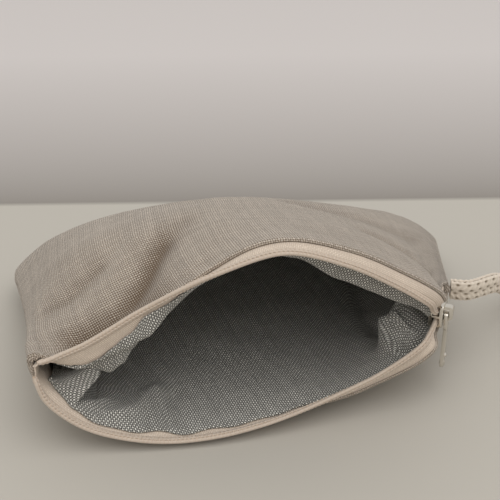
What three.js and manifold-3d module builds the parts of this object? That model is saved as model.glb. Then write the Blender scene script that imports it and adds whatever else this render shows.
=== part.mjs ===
// Lined linen zip pouch, lying on its back panel with the zip open. Millimetres, +Z up.
// X runs along the mouth from left to right, Y from the mouth to the bottom seam.
import * as THREE from 'three'
import { mergeVertices } from 'three/addons/utils/BufferGeometryUtils.js'
import Module from 'manifold-3d'

const wasm = await Module()
wasm.setup()

// Body of the pouch
const BACK_WIDTH = 150          // across the closed bottom seam
const BACK_DEPTH = 89           // from the mouth's left end to the bottom seam
const BACK_SHIFT = 6            // the bottom seam's middle lies this far to the right
const BACK_CORNER = 20          // radius of the two bottom corners
const BACK_SEAM_HEIGHT = 6      // bottom seam above the table
const MOUTH_LEFT = 58.5         // left end of the zip from the middle
const MOUTH_RIGHT = 61.4        // right end of the zip from the middle
const MOUTH_SETBACK = 13.6      // the right end of the zip lies this far back
const MOUTH_HEIGHT = 27         // zip ends above the table
const MOUTH_BOW = 10            // the lips bow this far to the front
const LIP_RISE = 31.5           // top of the front lip above the zip ends
const LIP_CLEARANCE = 3         // lowest point of the back lip's tape above the table
const PANEL_SWELL = 1           // the front panel swells behind its lip
const TROUGH_SLACK = 3          // spare depth that lets the back panel lie flat
const SIDE_FLARE = 1.6          // power by which the left side spreads towards the bottom seam
const DOME_DEPTH = 0.45         // depth share where the arch has become a broad dome
const LIP_REACH = 0.5           // depth share where the panels no longer feel the lips
const CREASE_DEPTH = 2.4        // the fold that runs up the front panel from the collar's foot
const CREASE_WIDTH = 5          // its half width
const CREASE_START = 0.1        // depth share where it starts, clear of the sewn-in tape

// Cloth layers, outwards from the tape's mid surface
const OUTER_THICKNESS = 0.8
const LINING_THICKNESS = 0.6
const LAYER_GAP = 0.3
const SEAM_HALF = 1.3           // half the space between the tapes' mid surfaces at a seam
const SEAM_GAP = 0.3            // slit between the two outer panels along the seam

// Zip
const TAPE_THICKNESS = 0.4
const TAPE_SHOWING = 2.5        // tape between the coil and the fold of the cloth
const COLLAR_HEIGHT = 5         // tape showing where the front lip stands up at the left
const COLLAR_LEAN = 75          // degrees that it stands up there
const COLLAR_REACH = 0.16       // depth share over which the cloth dips down to its foot
const TAPE_SEWN = 7             // tape hidden between cloth and lining
const CLOTH_FOLD = 0.6          // fold of the outer cloth behind the groove
const COLLAR_FOLD = 1.4         // and at the foot of the collar
const LINING_FOLD = 1.7         // fold of the lining behind the groove
const COIL_WIDTH = 1.9
const COIL_THICKNESS = 1.5
const COIL_PITCH = 1.15
const COIL_GAP = 0.1            // coil to the tape's edge line
const TAPE_EDGE = 0.2           // tape starts this far behind its edge line
const CHAIN_ANGLE = 28          // degrees that the closed end of the zip turns from Y
const SEAM_TO_SLIDER = 4.5      // closed chain between the side seam and the slider

// Slider and pull
const SLIDER_LENGTH = 8
const PLATE_THICKNESS = 0.9
const PLATE_CLEARANCE = 0.3     // coil to plate
const FLANGE_WIDTH = 0.75
const FLANGE_CLEARANCE = 0.2    // coil edge to flange
const TAPE_SLOT = 0.3           // tape face to flange
const WEDGE_CLEARANCE = 0.4     // coil to the wedge between the plates
const CHAIN_HALF_TAIL = 2.05    // coil's outer edge from the chain's middle at the tail
const CHAIN_HALF_THROAT = 2.75  // and at the throat
const CROWN_WIDTH = 1.8
const CROWN_HEIGHT = 4.4
const CROWN_BAR = 1
const PULL_THICKNESS = 1
const PULL_CLEARANCE = 0.25
const PULL_LENGTH = 17.5        // from its pivot to the tip
const PULL_WIDTH = 4.6
const PULL_EYE_MARGIN = 0.2     // eye to the crown's leg as the pull turns

// Wrist strap
const STRAP_WIDTH = 6.2
const STRAP_THICKNESS = 2.2

// Origin: the middle of the flat patch on which the pouch rests
const REST_X = 5
const REST_Y = 60

// Mesh steps
const PANEL_STEPS = 30
const DEPTH_STEPS = 11
const ROLL_STEPS = 3

const FRONT = 1                 // the arched upper side
const BACK = -1                 // the side on the table
const Z = new THREE.Vector3(0, 0, 1)
const { lerp, smoothstep, degToRad, clamp } = THREE.MathUtils
const mix = (a, b, share) => a.clone().lerp(b, share)
const at = (point, direction, distance) => point.clone().addScaledVector(direction, distance)

// Offsets of the layers from the tape's mid surface
const tapeHalf = TAPE_THICKNESS / 2
const outerInside = tapeHalf + LAYER_GAP
const outerOutside = outerInside + OUTER_THICKNESS
const liningOutside = tapeHalf + LAYER_GAP
const liningInside = liningOutside + LINING_THICKNESS
const lipDrop = MOUTH_HEIGHT - LIP_CLEARANCE

// The closed end of the zip runs straight back from the slider to the side seam.
const chainTurn = degToRad(CHAIN_ANGLE)
const chainDirection = new THREE.Vector3(Math.sin(chainTurn), Math.cos(chainTurn), 0)
const chainEnd = new THREE.Vector3(MOUTH_RIGHT, MOUTH_SETBACK, MOUTH_HEIGHT)
const chainPoint = (fromSeam, lift) => at(at(chainEnd, chainDirection, -fromSeam), Z, lift)
const tailDistance = SEAM_TO_SLIDER
const throatDistance = SEAM_TO_SLIDER + SLIDER_LENGTH

// Lip shapes as shares of the mouth's half widths, its bow and its rise or drop
const LIP_SHARES = {
  [FRONT]: [
    [-0.96, -0.42, 0.04], [-0.785, -0.35, 0.1], [-0.479, -0.3, 0.417], [-0.171, -0.45, 0.767],
    [0.144, -0.65, 1], [0.433, -0.65, 0.84], [0.689, -0.5, 0.54], [0.849, -0.35, 0.3],
  ],
  [BACK]: [
    [-0.985, -0.5, -0.18], [-0.935, -0.62, -0.42], [-0.765, -0.82, -0.77], [-0.479, -1, -0.98],
    [-0.136, -1.02, -1], [0.32, -0.72, -0.8], [0.641, -0.46, -0.54], [0.841, -0.32, -0.22],
  ],
}
const SEAM_END_HALF = 1.5       // tape edges at the seams, above and below the zip's middle
const RIM_TURN = 8              // length over which the rim turns upright before the slider
const SEAM_SPREAD = 0.3         // how far the tapes spread apart as they run into the right seam
const LEFT_END_BOW = 0.35       // left end of the zip, as a share of the bow

// How far the zip's rim leans, in degrees: minus flares the coil outwards, plus tucks it in
const LEAN = {
  [FRONT]: [[0, 0], [0.06, -45], [0.28, -35], [0.48, 25], [0.75, 50], [0.86, 75]],
  [BACK]: [[0, 0], [0.08, -50], [0.25, -30], [0.5, -10], [0.72, 45], [0.86, 75]],
}

function lipCurve(side) {
  const reach = side === FRONT ? LIP_RISE : lipDrop
  const points = LIP_SHARES[side].map(([x, y, z]) => new THREE.Vector3(
    x * (x < 0 ? MOUTH_LEFT : MOUTH_RIGHT), y * MOUTH_BOW, MOUTH_HEIGHT + z * reach))
  const leftEnd = MOUTH_HEIGHT + side * SEAM_END_HALF
  const left = new THREE.Vector3(-MOUTH_LEFT, -LEFT_END_BOW * MOUTH_BOW, leftEnd)
  const curve = new THREE.CatmullRomCurve3([
    left, ...points,
    chainPoint(throatDistance, side * CHAIN_HALF_THROAT),
    chainPoint(tailDistance, side * CHAIN_HALF_TAIL),
    chainPoint(0, side * SEAM_END_HALF),
  ], false, 'centripetal')
  curve.arcLengthDivisions = 800
  return curve
}
const lips = { [FRONT]: lipCurve(FRONT), [BACK]: lipCurve(BACK) }
const lipLength = { [FRONT]: lips[FRONT].getLength(), [BACK]: lips[BACK].getLength() }

// Smooth value along a table of [share, value] stops.
function along(table, share) {
  const next = table.findIndex(([stop]) => stop >= share)
  if (next === 0) return table[0][1]
  if (next < 0) return table[table.length - 1][1]
  const [from, to] = [table[next - 1], table[next]]
  return lerp(from[1], to[1], smoothstep(share, from[0], to[0]))
}

// Where the front lip stands up as a collar, from 0 to 1
const COLLAR = [[0, 0], [0.03, 0.1], [0.09, 1], [0.2, 1], [0.34, 0]]
const collar = (side, share) => side === FRONT ? along(COLLAR, share) : 0
const tapeShowing = (side, share) => lerp(TAPE_SHOWING, COLLAR_HEIGHT, collar(side, share))
const clothFold = (side, share) => lerp(CLOTH_FOLD, COLLAR_FOLD, collar(side, share))

// The direction in which the tape runs away from its coil, at a share of the lip's length.
const seamDirection = (share) => new THREE.Vector3(lerp(-0.1, 0.3, share), 0.94, -0.2).normalize()
function tapeDirection(side, share, standing = collar(side, share)) {
  const tangent = lips[side].getTangentAt(share)
  const back = seamDirection(share)
  back.addScaledVector(tangent, -back.dot(tangent)).normalize()
  const outward = tangent.clone().cross(back).multiplyScalar(side)
  const lean = degToRad(lerp(along(LEAN[side], share), -COLLAR_LEAN, standing))
  const leaning = back.multiplyScalar(Math.cos(lean)).addScaledVector(outward.normalize(), Math.sin(lean))
  const fromSeam = (1 - share) * lipLength[side]
  const upright = Z.clone().multiplyScalar(side)
  const inSlider = smoothstep(-fromSeam, -throatDistance - RIM_TURN, -throatDistance)
  const direction = mix(leaning, upright, inSlider).normalize()
  const folded = at(seamDirection(1), Z, side * SEAM_SPREAD).normalize()
  return mix(direction, folded, smoothstep(-fromSeam, -tailDistance, 0)).normalize()
}
const lipPoint = (side, share, fromEdge) =>
  at(lips[side].getPointAt(share), tapeDirection(side, share), fromEdge)
const foldPoint = (side, share) => lipPoint(side, share, tapeShowing(side, share))
const plainFold = (side, share) =>
  at(lips[side].getPointAt(share), tapeDirection(side, share, 0), TAPE_SHOWING)

// Depth along the panel, from 0 at the zip to 1 at the bottom seam
const seamHeight = (depth) => lerp(MOUTH_HEIGHT, BACK_SEAM_HEIGHT, depth)
const archHeight = (depth) =>
  (LIP_RISE - SEAM_HALF + PANEL_SWELL * 4 * depth * (1 - depth)) * Math.sqrt(1 - depth ** 3)
const troughDepth = (depth) => (seamHeight(depth) + TROUGH_SLACK) * Math.sqrt(1 - depth ** 10)
const foldEnd = {
  left: mix(foldPoint(FRONT, 0), foldPoint(BACK, 0), 0.5),
  right: mix(foldPoint(FRONT, 1), foldPoint(BACK, 1), 0.5),
}

// Cross profiles over -1 to 1: the arch leans right and becomes a dome, the trough is flat.
const archProfile = (across) => (1 - across ** 2) * (0.96 + 0.45 * across - 0.36 * across ** 2)
const domeProfile = (across) =>
  (1 - across ** 2) * (0.97 - 0.22 * across + 0.15 * across ** 2 + 0.8 * across ** 4)
const troughProfile = (across) => (1 - across ** 2) * (0.9 - 0.3 * across + 0.9 * across ** 2)
const crossProfile = (side, across, depth) => side === FRONT
  ? lerp(archProfile(across), domeProfile(across), smoothstep(depth, 0, DOME_DEPTH))
  : troughProfile(across)

// Lofted body: straight sides that widen to the bottom seam and its round corners.
function loftPoint(side, share, depth) {
  const across = 2 * share - 1
  const mouthY = lerp(foldEnd.left.y, foldEnd.right.y, share) - MOUTH_BOW * (1 - across ** 2)
  const backY = BACK_DEPTH
  const fromBack = (1 - depth) * (backY - lerp(foldEnd.left.y, foldEnd.right.y, share))
  const inCorner = Math.max(0, BACK_CORNER - fromBack)
  const rounding = BACK_CORNER - Math.sqrt(Math.max(0, BACK_CORNER ** 2 - inCorner ** 2))
  const left = lerp(foldEnd.left.x, BACK_SHIFT - BACK_WIDTH / 2, depth ** SIDE_FLARE) + rounding
  const right = lerp(foldEnd.right.x, BACK_SHIFT + BACK_WIDTH / 2, depth) - rounding
  const rise = side === FRONT ? archHeight(depth) : troughDepth(depth)
  const z = seamHeight(depth) + side * (SEAM_HALF + rise * crossProfile(side, across, depth))
  const y = lerp(mouthY, backY, depth)
  return new THREE.Vector3(lerp(left, right, share), y, Math.max(z, outerOutside))
}

// Smooth surface of one side: the loft, drawn to the zip's own line and to the collar's foot.
function smoothPoint(side, share, depth) {
  const plain = plainFold(side, share)
  const pull = plain.clone().sub(loftPoint(side, share, 0))
  const dip = foldPoint(side, share).sub(plain)
  const point = at(loftPoint(side, share, depth), pull, Math.max(0, 1 - depth / LIP_REACH) ** 2)
  point.addScaledVector(dip, Math.max(0, 1 - depth / COLLAR_REACH) ** 2)
  point.z = Math.max(point.z, outerOutside)
  return point
}

// Outward normal of a surface that pointAt gives.
function normalOf(pointAt, side, share, depth) {
  const step = 0.004
  const s = clamp(share, step, 1 - step)
  const d = clamp(depth, 0, 1 - 2 * step)
  const alongShare = pointAt(side, s + step, d).sub(pointAt(side, s - step, d))
  const alongDepth = pointAt(side, s, d + step).sub(pointAt(side, s, d))
  return alongShare.cross(alongDepth).multiplyScalar(side).normalize()
}

// The fold in the front panel, through stops given as shares of the zip and of the depth
const CREASE = [[0.2, 0.08], [0.29, 0.18], [0.335, 0.28]]
const onCloth = (share, depth) => new THREE.Vector3(share * BACK_WIDTH, depth * BACK_DEPTH, 0)
function creaseDepth(share, depth) {
  const here = onCloth(share, depth)
  const gaps = CREASE.slice(1).map((stop, k) => new THREE.Line3(onCloth(...CREASE[k]), onCloth(...stop))
    .closestPointToPoint(here, true, new THREE.Vector3()).distanceTo(here))
  const profile = Math.exp(-((Math.min(...gaps) / CREASE_WIDTH) ** 2))
  return CREASE_DEPTH * profile * smoothstep(depth, CREASE_START, 1.8 * CREASE_START)
}

// Mid surface of one side, on which all layers are laid.
function midPoint(side, share, depth) {
  const point = smoothPoint(side, share, depth)
  if (side === BACK) return point
  return at(point, normalOf(smoothPoint, side, share, depth), -creaseDepth(share, depth))
}
const midNormal = (side, share, depth) => normalOf(midPoint, side, share, depth)

// Depth share at a distance behind the fold of the cloth.
const FIRST_PART = 0.1          // share of the depth over which the panel's length is measured
const panelLength = (side, share) =>
  smoothPoint(side, share, FIRST_PART).distanceTo(smoothPoint(side, share, 0)) / FIRST_PART
const depthAt = (side, share, distance) => distance / Math.max(panelLength(side, share), BACK_DEPTH / 2)

// Collects vertices and faces, and closes them into one geometry whose faces point out.
class Mesher {
  positions = []
  faces = []
  point(p) {
    this.positions.push(p.x, p.y, p.z)
    return this.positions.length / 3 - 1
  }
  quad(a, b, c, d) {
    this.faces.push(a, b, c, a, c, d)
  }
  volume() {
    const corner = (i) => new THREE.Vector3().fromArray(this.positions, 3 * this.faces[i])
    let sum = 0
    for (let i = 0; i < this.faces.length; i += 3) {
      sum += corner(i).dot(corner(i + 1).cross(corner(i + 2)))
    }
    return sum / 6
  }
  geometry() {
    const geometry = new THREE.BufferGeometry()
    geometry.setAttribute('position', new THREE.Float32BufferAttribute(this.positions, 3))
    if (this.volume() < 0) this.faces.reverse()
    geometry.setIndex(this.faces)
    geometry.computeVertexNormals()
    return geometry
  }
}

// A sheet of cloth between an outer and an inner face, with an optional rolled border.
function sheet(columns, rows, outerAt, innerAt, roll) {
  const mesh = new Mesher()
  const face = (pointAt) => Array.from({ length: columns + 1 }, (_, i) =>
    Array.from({ length: rows + 1 }, (_, j) => mesh.point(pointAt(i, j))))
  const outer = face(outerAt)
  const inner = face(innerAt)
  for (let i = 0; i < columns; i++) {
    for (let j = 0; j < rows; j++) {
      mesh.quad(outer[i][j], outer[i + 1][j], outer[i + 1][j + 1], outer[i][j + 1])
      mesh.quad(inner[i][j], inner[i][j + 1], inner[i + 1][j + 1], inner[i + 1][j])
    }
    mesh.quad(outer[i][0], inner[i][0], inner[i + 1][0], outer[i + 1][0])
  }
  // Round the other three edges, from the left front corner to the right one
  const border = []
  for (let j = 0; j <= rows; j++) border.push([0, j])
  for (let i = 1; i <= columns; i++) border.push([i, rows])
  for (let j = rows - 1; j >= 0; j--) border.push([columns, j])
  const chains = border.map(([i, j]) => {
    const chain = [[outer[i][j], inner[i][j]]]
    if (roll) for (const [o, n] of roll(i, j)) chain.push([mesh.point(o), mesh.point(n)])
    return chain
  })
  const last = chains[0].length - 1
  for (let b = 0; b + 1 < chains.length; b++) {
    const [here, next] = [chains[b], chains[b + 1]]
    for (let k = 0; k < last; k++) {
      mesh.quad(here[k][0], next[k][0], next[k + 1][0], here[k + 1][0])
      mesh.quad(here[k][1], here[k + 1][1], next[k + 1][1], next[k][1])
    }
    mesh.quad(here[last][0], next[last][0], next[last][1], here[last][1])
  }
  for (const [chain, flip] of [[chains[0], false], [chains[chains.length - 1], true]]) {
    for (let k = 0; k < last; k++) {
      const corners = [chain[k][0], chain[k + 1][0], chain[k + 1][1], chain[k][1]]
      mesh.quad(...(flip ? corners.reverse() : corners))
    }
  }
  return mesh.geometry()
}

// Steps along the zip crowd a little towards its ends.
function stepShare(i) {
  const even = i / PANEL_STEPS
  return lerp(even, 0.5 - 0.5 * Math.cos(Math.PI * even), 0.5)
}

// Depth steps crowd towards the zip and the bottom seam.
const depthStep = (j) => 0.5 - 0.5 * Math.cos(Math.PI * j / DEPTH_STEPS)
const panelDepth = (side, share, fold, j) => lerp(depthAt(side, share, fold), 1, depthStep(j))

// The seam line between the two panels, with its directions along, up and aside.
const seamPoint = (share, depth) =>
  mix(midPoint(FRONT, share, depth), midPoint(BACK, share, depth), 0.5)
function seamFrame(side, share, depth) {
  const step = 0.01
  const onSide = share === 0 || share === 1
  const [s0, s1] = depth === 1 ? [Math.max(0, share - step), Math.min(1, share + step)] : [share, share]
  const [d0, d1] = onSide ? [Math.max(0, depth - step), Math.min(1, depth + step)] : [depth, depth]
  const [from, to] = share === 1 ? [d1, d0] : [d0, d1]
  const tangent = seamPoint(s1, to).sub(seamPoint(s0, from))
  const up = Z.clone().multiplyScalar(side)
  up.addScaledVector(tangent.normalize(), -up.dot(tangent)).normalize()
  const aside = tangent.clone().cross(up).normalize()
  const middle = new THREE.Vector3(BACK_SHIFT, BACK_DEPTH / 2, 0)
  if (aside.dot(seamPoint(share, depth).sub(middle)) < 0) aside.negate()
  return { tangent, up, aside }
}

// The outer cloth turns in along the seams to meet the other panel.
function seamRoll(side, share, depth) {
  const { up, aside } = seamFrame(side, share, depth)
  const normal = midNormal(side, share, depth)
  const leanOut = clamp(normal.dot(aside), 0, 0.98)
  const upright = Math.sqrt(1 - leanOut ** 2)
  const bend = (offset) => {
    const start = at(midPoint(side, share, depth), normal, offset)
    const height = start.clone().sub(seamPoint(share, depth)).dot(up) - SEAM_GAP / 2
    const reach = height / (1 + leanOut)
    const knee = at(at(start, aside, reach * upright), up, -reach * leanOut)
    const end = at(at(start, aside, reach * upright), up, -height)
    return new THREE.QuadraticBezierCurve3(start, knee, end)
  }
  const [outer, inner] = [bend(outerOutside), bend(outerInside)]
  return Array.from({ length: ROLL_STEPS }, (_, k) => {
    const share01 = (k + 1) / ROLL_STEPS
    return [outer.getPoint(share01), inner.getPoint(share01)]
  })
}

function outerPanel(side) {
  const depth = (i, j) => panelDepth(side, stepShare(i), clothFold(side, stepShare(i)), j)
  const layer = (offset) => (i, j) =>
    at(midPoint(side, stepShare(i), depth(i, j)), midNormal(side, stepShare(i), depth(i, j)), offset)
  return sheet(PANEL_STEPS, DEPTH_STEPS, layer(outerOutside), layer(outerInside),
    (i, j) => seamRoll(side, stepShare(i), depth(i, j)))
}

function liningPanel(side) {
  const depth = (i, j) => panelDepth(side, stepShare(i), LINING_FOLD, j)
  const layer = (offset) => (i, j) =>
    at(midPoint(side, stepShare(i), depth(i, j)), midNormal(side, stepShare(i), depth(i, j)), -offset)
  return sheet(PANEL_STEPS, DEPTH_STEPS, layer(liningOutside), layer(liningInside))
}

// Tape: bare from the coil to the groove, then sewn in between cloth and lining.
const tapeRows = (showing) => [
  TAPE_EDGE, showing / 2, showing, showing + TAPE_SEWN / 3, showing + TAPE_SEWN,
]
const TAPE_END = 0.004          // share of the zip's length that the tape stops short of the seams
function tapeFrame(side, share, fromEdge) {
  const direction = tapeDirection(side, share)
  const rim = lips[side].getTangentAt(share).cross(direction).multiplyScalar(side).normalize()
  const showing = tapeShowing(side, share)
  if (fromEdge < showing) return [lipPoint(side, share, fromEdge), rim]
  const depth = depthAt(side, share, fromEdge - showing)
  const panel = midNormal(side, share, depth)
  const normal = fromEdge === showing ? rim.add(panel).normalize() : panel
  return [midPoint(side, share, depth), normal]
}
function zipTape(side) {
  const share = (i) => clamp(stepShare(i), TAPE_END, 1 - TAPE_END)
  const layer = (offset) => (i, j) => {
    const rows = tapeRows(tapeShowing(side, share(i)))
    const [point, normal] = tapeFrame(side, share(i), rows[j])
    return at(point, normal, offset)
  }
  return sheet(PANEL_STEPS, tapeRows(0).length - 1, layer(tapeHalf), layer(-tapeHalf))
}

// A solid lofted through closed rings of equal point counts, with flat ends.
function loftRings(rings) {
  const mesh = new Mesher()
  const index = rings.map((ring) => ring.map((p) => mesh.point(p)))
  const count = rings[0].length
  for (let i = 0; i + 1 < index.length; i++) {
    for (let k = 0; k < count; k++) {
      const n = (k + 1) % count
      mesh.quad(index[i][k], index[i][n], index[i + 1][n], index[i + 1][k])
    }
  }
  const [first, final] = [index[0], index[index.length - 1]]
  for (let k = 1; k + 1 < count; k++) {
    mesh.faces.push(first[0], first[k + 1], first[k])
    mesh.faces.push(final[0], final[k], final[k + 1])
  }
  return mesh.geometry()
}

// Coil: one rib for each turn, its head towards the mouth, with a waist between turns.
const COIL_LEFT_END = 0.014     // share of the zip's length where the coil starts
const COIL_HEAD = [[1, 0], [0.66, 1], [0, 0.8], [0, -0.8], [0.66, -1]]
const COIL_WAIST = [[0.72, 0], [0.5, 0.62], [0, 0.6], [0, -0.6], [0.5, -0.62]]
function zipCoil(side) {
  const rightEnd = 1 - (tailDistance + LAYER_GAP) / lipLength[side]
  const turns = Math.round((rightEnd - COIL_LEFT_END) * lipLength[side] / COIL_PITCH)
  const ring = (share, section) => {
    const direction = tapeDirection(side, share)
    const normal = lips[side].getTangentAt(share).cross(direction).normalize()
    return section.map(([w, h]) =>
      at(lipPoint(side, share, -COIL_GAP - w * COIL_WIDTH), normal, h * COIL_THICKNESS / 2))
  }
  const rings = Array.from({ length: 2 * turns + 1 }, (_, k) =>
    ring(lerp(COIL_LEFT_END, rightEnd, k / (2 * turns)), k % 2 ? COIL_HEAD : COIL_WAIST))
  return loftRings(rings)
}

// Manifold helpers for the cast metal pieces
function solid(geometry) {
  const plain = geometry.clone()
  plain.deleteAttribute('normal')
  plain.deleteAttribute('uv')
  const merged = mergeVertices(plain, 1e-4)
  return new wasm.Manifold(new wasm.Mesh({
    numProp: 3,
    vertProperties: new Float32Array(merged.attributes.position.array),
    triVerts: new Uint32Array(merged.index.array),
  }))
}
function toGeometry(manifold) {
  const { vertProperties, triVerts } = manifold.getMesh()
  const geometry = new THREE.BufferGeometry()
  geometry.setAttribute('position', new THREE.Float32BufferAttribute(vertProperties, 3))
  geometry.setIndex(Array.from(triVerts))
  geometry.computeVertexNormals()
  return geometry
}
const extruded = (shape, from, to, curveSegments = 6) =>
  new THREE.ExtrudeGeometry(shape, { depth: to - from, bevelEnabled: false, curveSegments })
    .translate(0, 0, from)

// Slider, in its own frame: x from throat to tail, y up, z away from the pouch
const halfLength = SLIDER_LENGTH / 2
const plateInside = COIL_THICKNESS / 2 + PLATE_CLEARANCE
const plateOutside = plateInside + PLATE_THICKNESS
const flangeFace = tapeHalf + TAPE_SLOT
const tailHalf = CHAIN_HALF_TAIL + FLANGE_CLEARANCE + FLANGE_WIDTH
const throatHalf = CHAIN_HALF_THROAT + FLANGE_CLEARANCE + FLANGE_WIDTH

function plateShape() {
  const corner = 1.1
  const shape = new THREE.Shape()
  shape.moveTo(-halfLength, -throatHalf + corner)
  shape.quadraticCurveTo(-halfLength, -throatHalf, -halfLength + corner, -throatHalf)
  shape.lineTo(halfLength - corner, -tailHalf)
  shape.quadraticCurveTo(halfLength, -tailHalf, halfLength, -tailHalf + corner)
  shape.lineTo(halfLength, tailHalf - corner)
  shape.quadraticCurveTo(halfLength, tailHalf, halfLength - corner, tailHalf)
  shape.lineTo(-halfLength + corner, throatHalf)
  shape.quadraticCurveTo(-halfLength, throatHalf, -halfLength, throatHalf - corner)
  shape.closePath()
  return shape
}
function flangeShape(side) {
  const shape = new THREE.Shape()
  const end = halfLength - 0.6
  shape.moveTo(-end, side * (throatHalf - 0.1))
  shape.lineTo(end, side * (tailHalf - 0.05))
  shape.lineTo(end, side * (tailHalf - FLANGE_WIDTH))
  shape.lineTo(-end, side * (throatHalf - FLANGE_WIDTH))
  shape.closePath()
  return shape
}
function wedgeShape() {
  const coilInside = CHAIN_HALF_THROAT - COIL_WIDTH - COIL_GAP
  const half = coilInside - WEDGE_CLEARANCE
  const shape = new THREE.Shape()
  shape.moveTo(-halfLength, -half)
  shape.lineTo(-halfLength / 2, -half * 0.7)
  shape.lineTo(-halfLength / 4, 0)
  shape.lineTo(-halfLength / 2, half * 0.7)
  shape.lineTo(-halfLength, half)
  shape.closePath()
  return shape
}
// The crown is an arch across the slider, open along its length for the pull's eye.
const crownHole = PULL_THICKNESS + 2 * PULL_CLEARANCE
const crownReach = plateOutside + crownHole + CROWN_BAR
function crownGeometry() {
  const half = CROWN_HEIGHT / 2
  const round = 1.2
  const shape = new THREE.Shape()
  shape.moveTo(plateInside + PLATE_THICKNESS / 2, -half)
  shape.lineTo(crownReach - round, -half)
  shape.quadraticCurveTo(crownReach, -half, crownReach, -half + round)
  shape.lineTo(crownReach, half - round)
  shape.quadraticCurveTo(crownReach, half, crownReach - round, half)
  shape.lineTo(plateInside + PLATE_THICKNESS / 2, half)
  shape.closePath()
  const hole = new THREE.Path()
  hole.moveTo(plateOutside, -half + CROWN_BAR)
  hole.lineTo(plateOutside, half - CROWN_BAR)
  hole.lineTo(plateOutside + crownHole, half - CROWN_BAR)
  hole.lineTo(plateOutside + crownHole, -half + CROWN_BAR)
  hole.closePath()
  shape.holes.push(hole)
  // Drawn in the plane of outward reach and height, then turned to run along the slider
  return extruded(shape, -CROWN_WIDTH / 2, CROWN_WIDTH / 2).rotateY(-Math.PI / 2)
}
function sliderBody() {
  const overlap = 0.1
  let body = solid(extruded(plateShape(), plateInside, plateOutside))
  body = body.add(solid(extruded(plateShape(), -plateOutside, -plateInside)))
  for (const side of [1, -1]) {
    body = body.add(solid(extruded(flangeShape(side), flangeFace, plateInside + overlap)))
    body = body.add(solid(extruded(flangeShape(side), -plateInside - overlap, -flangeFace)))
  }
  body = body.add(solid(extruded(wedgeShape(), -plateInside - overlap, plateInside + overlap)))
  body = body.add(solid(crownGeometry()))
  return toGeometry(body)
}

// Pull tab: a flat blade that hangs by its eye from the crown's lower leg
const legMiddle = -CROWN_HEIGHT / 2 + CROWN_BAR / 2
const eyeReach = Math.hypot(CROWN_WIDTH / 2, CROWN_BAR / 2) + PULL_EYE_MARGIN
const pullMiddle = plateOutside + PULL_CLEARANCE + PULL_THICKNESS / 2
function pullTab() {
  const half = PULL_WIDTH / 2
  const top = eyeReach + 0.9
  const neck = half * 0.62
  const shoulder = -eyeReach - 1.6
  const shape = new THREE.Shape()
  shape.moveTo(-half + 0.7, top)
  shape.quadraticCurveTo(-half, top, -half, top - 0.7)
  shape.lineTo(-half, -eyeReach)
  shape.quadraticCurveTo(-half, shoulder, -neck, shoulder - 1)
  shape.lineTo(-half * 0.8, -PULL_LENGTH + half * 0.8)
  shape.absarc(0, -PULL_LENGTH + half * 0.8, half * 0.8, Math.PI, 2 * Math.PI, false)
  shape.lineTo(neck, shoulder - 1)
  shape.quadraticCurveTo(half, shoulder, half, -eyeReach)
  shape.lineTo(half, top - 0.7)
  shape.quadraticCurveTo(half, top, half - 0.7, top)
  shape.closePath()
  const eye = new THREE.Path()
  eye.absarc(0, 0, eyeReach, 0, 2 * Math.PI, true)
  shape.holes.push(eye)
  const blade = solid(extruded(shape, -PULL_THICKNESS / 2, PULL_THICKNESS / 2))
  // Thick rounded tip with a small stud on its outer face
  const tip = new THREE.SphereGeometry(1.15, 10, 8).scale(1, 1, 0.8).translate(0, -PULL_LENGTH + 1.3, 0)
  const stud = new THREE.SphereGeometry(0.7, 8, 6).translate(0, -PULL_LENGTH + 4.2, PULL_THICKNESS / 2)
  return toGeometry(blade.add(solid(tip)).add(solid(stud)))
}

// Wrist strap: a flat braid that leaves the right side seam, droops to the table and comes back.
const STRAP_ROUTE = [
  [82, 21.5, 24.6], [91, 26, 19.2], [101, 31, 11.5], [112, 34, 4.6], [124, 35, 1.8], [136, 36.5, 1.4],
  [146, 42, 1.4], [150, 51, 1.4], [146, 60, 1.4], [136, 65.5, 1.4], [124, 63, 1.8], [112, 55, 3.6],
  [101, 45, 7.6], [91, 35, 14], [82, 27, 21.6],
]
const STRAP_EXIT = 0.06         // depth of the exits along the right side seam
const STRAP_STRAIGHT = 5        // straight run out of the seam
function strapEnds() {
  const { tangent, aside } = seamFrame(FRONT, 1, STRAP_EXIT)
  const rolled = seamRoll(FRONT, 1, STRAP_EXIT)[ROLL_STEPS - 1][0]
  const exit = at(rolled.setZ(seamPoint(1, STRAP_EXIT).z), aside, LAYER_GAP)
  const apart = STRAP_THICKNESS / 2 + LAYER_GAP / 2
  const ends = [at(exit, tangent, apart), at(exit, tangent, -apart)]
  return ends.sort((a, b) => a.y - b.y).map((end) => [end, at(end, aside, STRAP_STRAIGHT)])
}
function wristStrap() {
  const [out, home] = strapEnds()
  const points = [...out, ...STRAP_ROUTE.map((p) => new THREE.Vector3(...p)), ...home.reverse()]
  const curve = new THREE.CatmullRomCurve3(points, false, 'centripetal')
  curve.arcLengthDivisions = 400
  const steps = 48
  const sides = 8
  const rings = Array.from({ length: steps + 1 }, (_, k) => {
    const share = k / steps
    const point = curve.getPointAt(share)
    const tangent = curve.getTangentAt(share)
    // On edge at the seam, turned flat where it lies on the table
    const flat = smoothstep(point.x, MOUTH_RIGHT + 20, MOUTH_RIGHT + 56)
    const upright = Z.clone().addScaledVector(tangent, -Z.dot(tangent)).normalize()
    const width = mix(upright, tangent.clone().cross(Z).normalize(), flat)
    width.addScaledVector(tangent, -width.dot(tangent)).normalize()
    const across = tangent.clone().cross(width)
    return Array.from({ length: sides }, (_, i) => {
      const turn = 2 * Math.PI * (i + 0.5) / sides
      const toEdge = at(point, width, Math.cos(turn) * STRAP_WIDTH / 2)
      return at(toEdge, across, Math.sin(turn) * STRAP_THICKNESS / 2)
    })
  })
  return loftRings(rings)
}

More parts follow.
